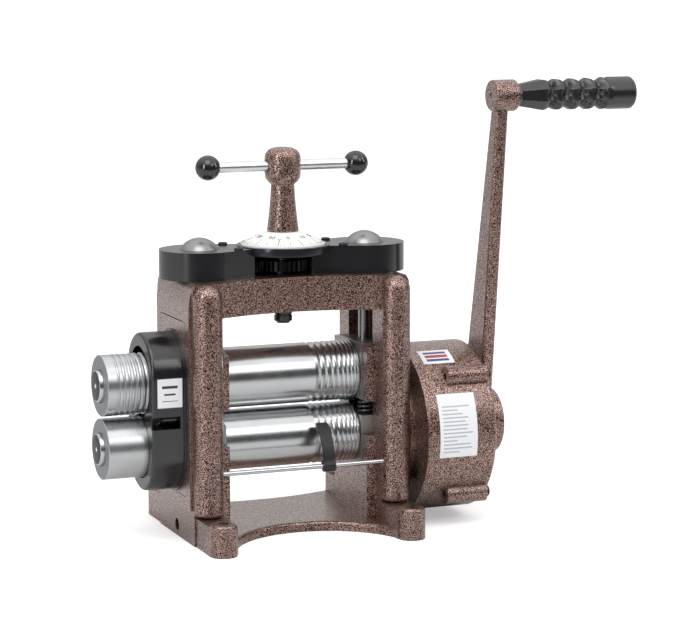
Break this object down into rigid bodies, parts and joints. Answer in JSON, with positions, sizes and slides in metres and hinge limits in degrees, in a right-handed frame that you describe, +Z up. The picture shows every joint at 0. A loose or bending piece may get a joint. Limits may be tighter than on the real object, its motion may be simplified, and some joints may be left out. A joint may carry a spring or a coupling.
{
  "type": "jewellers rolling mill",
  "caption": "Hand-cranked bench rolling mill: iron frame, plain and grooved steel rolls, T-handle gap adjuster, reduction gearbox and side extension rolls.",
  "frame": {"origin": "centre of the foot bolt holes, on the plane that the feet stand on", "axes": "+X along the rolls towards the crank, +Y to the back, +Z up"},
  "size_m": [0.5044, 0.203, 0.4083],
  "materials": {
    "hammered_paint": "copper hammertone",
    "black_paint": "satin black",
    "roll_steel": "polished",
    "turned_steel": "turned",
    "block_iron": "machined",
    "gear_steel": "machined, oiled",
    "bronze": "machined",
    "spring_steel": "blackened",
    "guide_metal": "grey",
    "black_plastic": "gloss",
    "dial_white": "satin",
    "screw_black": "blackened steel",
    "sticker": "blank"
  },
  "bodies": {
    "frame": {"frame": "hammered_paint", "window_plate_left": "hammered_paint", "window_plate_right": "hammered_paint", "gear_head_cover": "black_paint", "head_screws": "screw_black", "dial_ring": "black_paint", "screw_nut_left": "bronze", "screw_nut_right": "bronze", "spindle_bush": "bronze", "idler_pins": "turned_steel", "lower_block_left": "block_iron", "lower_block_right": "block_iron", "lower_bushes": "bronze", "gear_cover": "black_paint", "gear_cover_screws": "screw_black", "gear_cover_label": "sticker", "gearbox_body": "hammered_paint", "gearbox_cover": "hammered_paint", "gearbox_screws": "screw_black", "gearbox_flange_screws": "screw_black", "ring_gear": "gear_steel", "crank_bush": "bronze", "gearbox_plate_label": "sticker", "gearbox_flag_label": "sticker", "carriage_springs": "spring_steel"},
    "lower_roll_set": {"lower_roll": "roll_steel", "lower_extension_roll": "roll_steel", "lower_end_cap": "turned_steel", "lower_sync_gear": "gear_steel", "planet_carrier": "block_iron"},
    "upper_carriage": {"upper_block_left": "block_iron", "upper_block_right": "block_iron", "upper_bushes": "bronze"},
    "upper_roll_set": {"upper_roll": "roll_steel", "upper_extension_roll": "roll_steel", "upper_end_cap": "turned_steel", "upper_sync_gear": "gear_steel"},
    "crank": {"sun_shaft": "turned_steel", "crank_arm": "hammered_paint", "crank_nut": "turned_steel", "grip_spindle": "turned_steel"},
    "crank_grip": {"grip": "black_plastic"},
    "planet_1": {"planet_gear_1": "gear_steel"},
    "planet_2": {"planet_gear_2": "gear_steel"},
    "planet_3": {"planet_gear_3": "gear_steel"},
    "t_handle": {"handle_stem": "hammered_paint", "handle_bar": "turned_steel", "handle_balls": "black_plastic", "handle_spindle": "turned_steel", "spindle_nut": "turned_steel", "dial": "dial_white", "centre_gear": "gear_steel"},
    "idler_left": {"idler_gear_left": "gear_steel"},
    "idler_right": {"idler_gear_right": "gear_steel"},
    "screw_drive_left": {"screw_gear_left": "gear_steel"},
    "screw_drive_right": {"screw_gear_right": "gear_steel"},
    "pressure_screw_left": {"adjusting_screw_left": "turned_steel"},
    "pressure_screw_right": {"adjusting_screw_right": "turned_steel"},
    "guide_bar": {"guide_rod": "turned_steel"},
    "guide": {"wire_guide": "guide_metal"}
  },
  "joints": [
    {"name": "lower_roll_turn", "type": "hinge", "parent": "frame", "child": "lower_roll_set", "pos_m": [0, 0, 0.0845], "axis": [1, 0, 0], "continuous": true},
    {"name": "carriage_slide", "type": "slide", "parent": "frame", "child": "upper_carriage", "axis": [0, 0, 1], "range_m": [-0.0021, 0.005], "deforming": ["carriage_springs"]},
    {"name": "upper_roll_turn", "type": "hinge", "parent": "upper_carriage", "child": "upper_roll_set", "pos_m": [0, 0, 0.1417], "axis": [1, 0, 0], "continuous": true},
    {"name": "crank_turn", "type": "hinge", "parent": "frame", "child": "crank", "pos_m": [0.18, 0, 0.0845], "axis": [1, 0, 0], "continuous": true},
    {"name": "grip_turn", "type": "hinge", "parent": "crank", "child": "crank_grip", "pos_m": [0.26, -0.05001, 0.39328], "axis": [1, 0, 0], "continuous": true},
    {"name": "planet_1_turn", "type": "hinge", "parent": "lower_roll_set", "child": "planet_1", "pos_m": [0.1355, 0, 0.1295], "axis": [1, 0, 0], "continuous": true},
    {"name": "planet_2_turn", "type": "hinge", "parent": "lower_roll_set", "child": "planet_2", "pos_m": [0.1355, -0.03897, 0.062], "axis": [1, 0, 0], "continuous": true},
    {"name": "planet_3_turn", "type": "hinge", "parent": "lower_roll_set", "child": "planet_3", "pos_m": [0.1355, 0.03897, 0.062], "axis": [1, 0, 0], "continuous": true},
    {"name": "handle_turn", "type": "hinge", "parent": "frame", "child": "t_handle", "pos_m": [0, 0, 0.25], "axis": [0, 0, 1], "range_deg": [-520, 1240]},
    {"name": "idler_left_turn", "type": "hinge", "parent": "frame", "child": "idler_left", "pos_m": [-0.03574, 0, 0.242], "axis": [0, 0, 1], "range_deg": [-1800, 760]},
    {"name": "idler_right_turn", "type": "hinge", "parent": "frame", "child": "idler_right", "pos_m": [0.03574, 0, 0.242], "axis": [0, 0, 1], "range_deg": [-1800, 760]},
    {"name": "screw_gear_left_turn", "type": "hinge", "parent": "frame", "child": "screw_drive_left", "pos_m": [-0.0796, 0, 0.242], "axis": [0, 0, 1], "range_deg": [-378, 900]},
    {"name": "screw_gear_right_turn", "type": "hinge", "parent": "frame", "child": "screw_drive_right", "pos_m": [0.0796, 0, 0.242], "axis": [0, 0, 1], "range_deg": [-378, 900]},
    {"name": "pressure_screw_left_turn", "type": "hinge", "parent": "upper_carriage", "child": "pressure_screw_left", "pos_m": [-0.0796, 0, 0.22], "axis": [0, 0, 1], "range_deg": [-378, 900]},
    {"name": "pressure_screw_right_turn", "type": "hinge", "parent": "upper_carriage", "child": "pressure_screw_right", "pos_m": [0.0796, 0, 0.22], "axis": [0, 0, 1], "range_deg": [-378, 900]},
    {"name": "guide_bar_tilt", "type": "hinge", "parent": "frame", "child": "guide_bar", "pos_m": [0, -0.052, 0.0644], "axis": [1, 0, 0], "range_deg": [-8, 95]},
    {"name": "guide_shift", "type": "slide", "parent": "guide_bar", "child": "guide", "axis": [1, 0, 0], "range_m": [-0.082, 0.034]}
  ],
  "couplings": [
    {"joint": "upper_roll_turn", "follows": "lower_roll_turn", "ratio": -1},
    {"joint": "crank_turn", "follows": "lower_roll_turn", "ratio": 4},
    {"joint": "planet_1_turn", "follows": "lower_roll_turn", "ratio": -3},
    {"joint": "planet_2_turn", "follows": "lower_roll_turn", "ratio": -3},
    {"joint": "planet_3_turn", "follows": "lower_roll_turn", "ratio": -3},
    {"joint": "carriage_slide", "follows": "handle_turn", "m_per_rad": 0.00022989},
    {"joint": "idler_left_turn", "follows": "handle_turn", "ratio": -1.4444},
    {"joint": "screw_gear_left_turn", "follows": "handle_turn", "ratio": 0.72222},
    {"joint": "pressure_screw_left_turn", "follows": "handle_turn", "ratio": 0.72222},
    {"joint": "idler_right_turn", "follows": "handle_turn", "ratio": -1.4444},
    {"joint": "screw_gear_right_turn", "follows": "handle_turn", "ratio": 0.72222},
    {"joint": "pressure_screw_right_turn", "follows": "handle_turn", "ratio": 0.72222}
  ]
}
